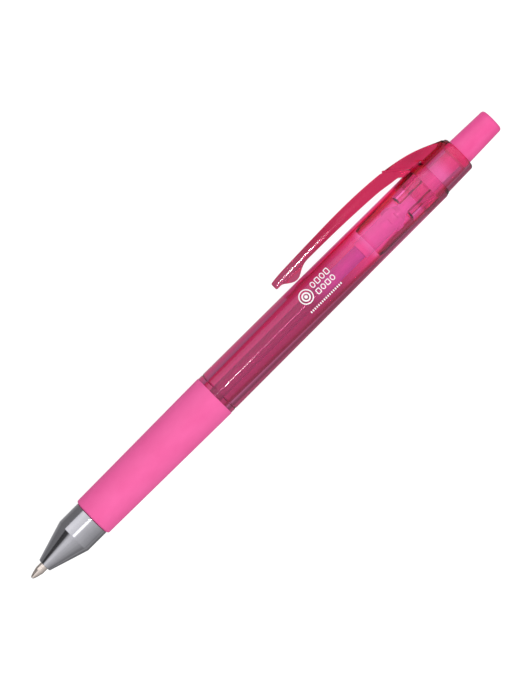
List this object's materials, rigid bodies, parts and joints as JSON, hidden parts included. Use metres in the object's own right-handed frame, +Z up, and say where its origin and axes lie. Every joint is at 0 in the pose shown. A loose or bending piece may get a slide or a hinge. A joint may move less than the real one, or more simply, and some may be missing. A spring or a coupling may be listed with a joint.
{
  "type": "retractable ball pen",
  "caption": "Click-action ball pen with a chromed nose cone, soft grip sleeve, clear barrel, sprung clip and push button, shown with the point out.",
  "frame": {"origin": "middle of the pen's footprint on the table it lies on", "axes": "+X along the pen from the writing point to the push button, +Z up; the pen lies on its grip and on its clip, which reaches out towards +Y"},
  "size_m": [0.144, 0.0148, 0.0107],
  "materials": {
    "chrome_nose": "bright polished chrome plate",
    "clear_crimson": "clear tinted moulding, polished",
    "pink_rubber": "soft matte skin",
    "pink_plastic": "satin moulded",
    "natural_tube": "milky extruded tube",
    "ink": "wet ink",
    "grease": "clear grease",
    "holder_plastic": "plain moulded",
    "point_metal": "drawn champagne metal",
    "ball_steel": "ground ball",
    "spring_steel": "drawn wire"
  },
  "bodies": {
    "housing": {"nose_cone": "chrome_nose", "barrel": "clear_crimson", "grip_sleeve": "pink_rubber", "cam_guide": "clear_crimson", "end_cap": "clear_crimson", "return_spring": "spring_steel"},
    "refill": {"tip_holder": "holder_plastic", "refill_tube": "natural_tube", "ink_column": "ink", "ink_follower": "grease", "writing_tip": "point_metal"},
    "rotor": {"cam_rotor": "pink_plastic"},
    "button": {"push_button": "pink_plastic", "plunger": "pink_plastic"},
    "clip": {"clip": "clear_crimson"},
    "ball": {"tip_ball": "ball_steel"}
  },
  "joints": [
    {"name": "refill_slide", "type": "slide", "parent": "housing", "child": "refill", "axis": [1, 0, 0], "range_m": [-0.0012, 0.0044], "deforming": ["return_spring"]},
    {"name": "button_slide", "type": "slide", "parent": "refill", "child": "button", "axis": [1, 0, 0], "range_m": [-0.0044, 0]},
    {"name": "rotor_turn", "type": "hinge", "parent": "refill", "child": "rotor", "pos_m": [0.038, -0.00205, 0.00533], "axis": [1, 0, 0], "continuous": true},
    {"name": "ball_roll", "type": "hinge", "parent": "refill", "child": "ball", "pos_m": [-0.07165, -0.00205, 0.00533], "axis": [0, 0.378, 0.9258], "continuous": true},
    {"name": "clip_flex", "type": "hinge", "parent": "housing", "child": "clip", "pos_m": [0.0504, 0.00313, 0.00321], "axis": [0, -0.378, -0.9258], "range_deg": [0, 4], "stiffness_Nm_per_rad": 0.5}
  ]
}
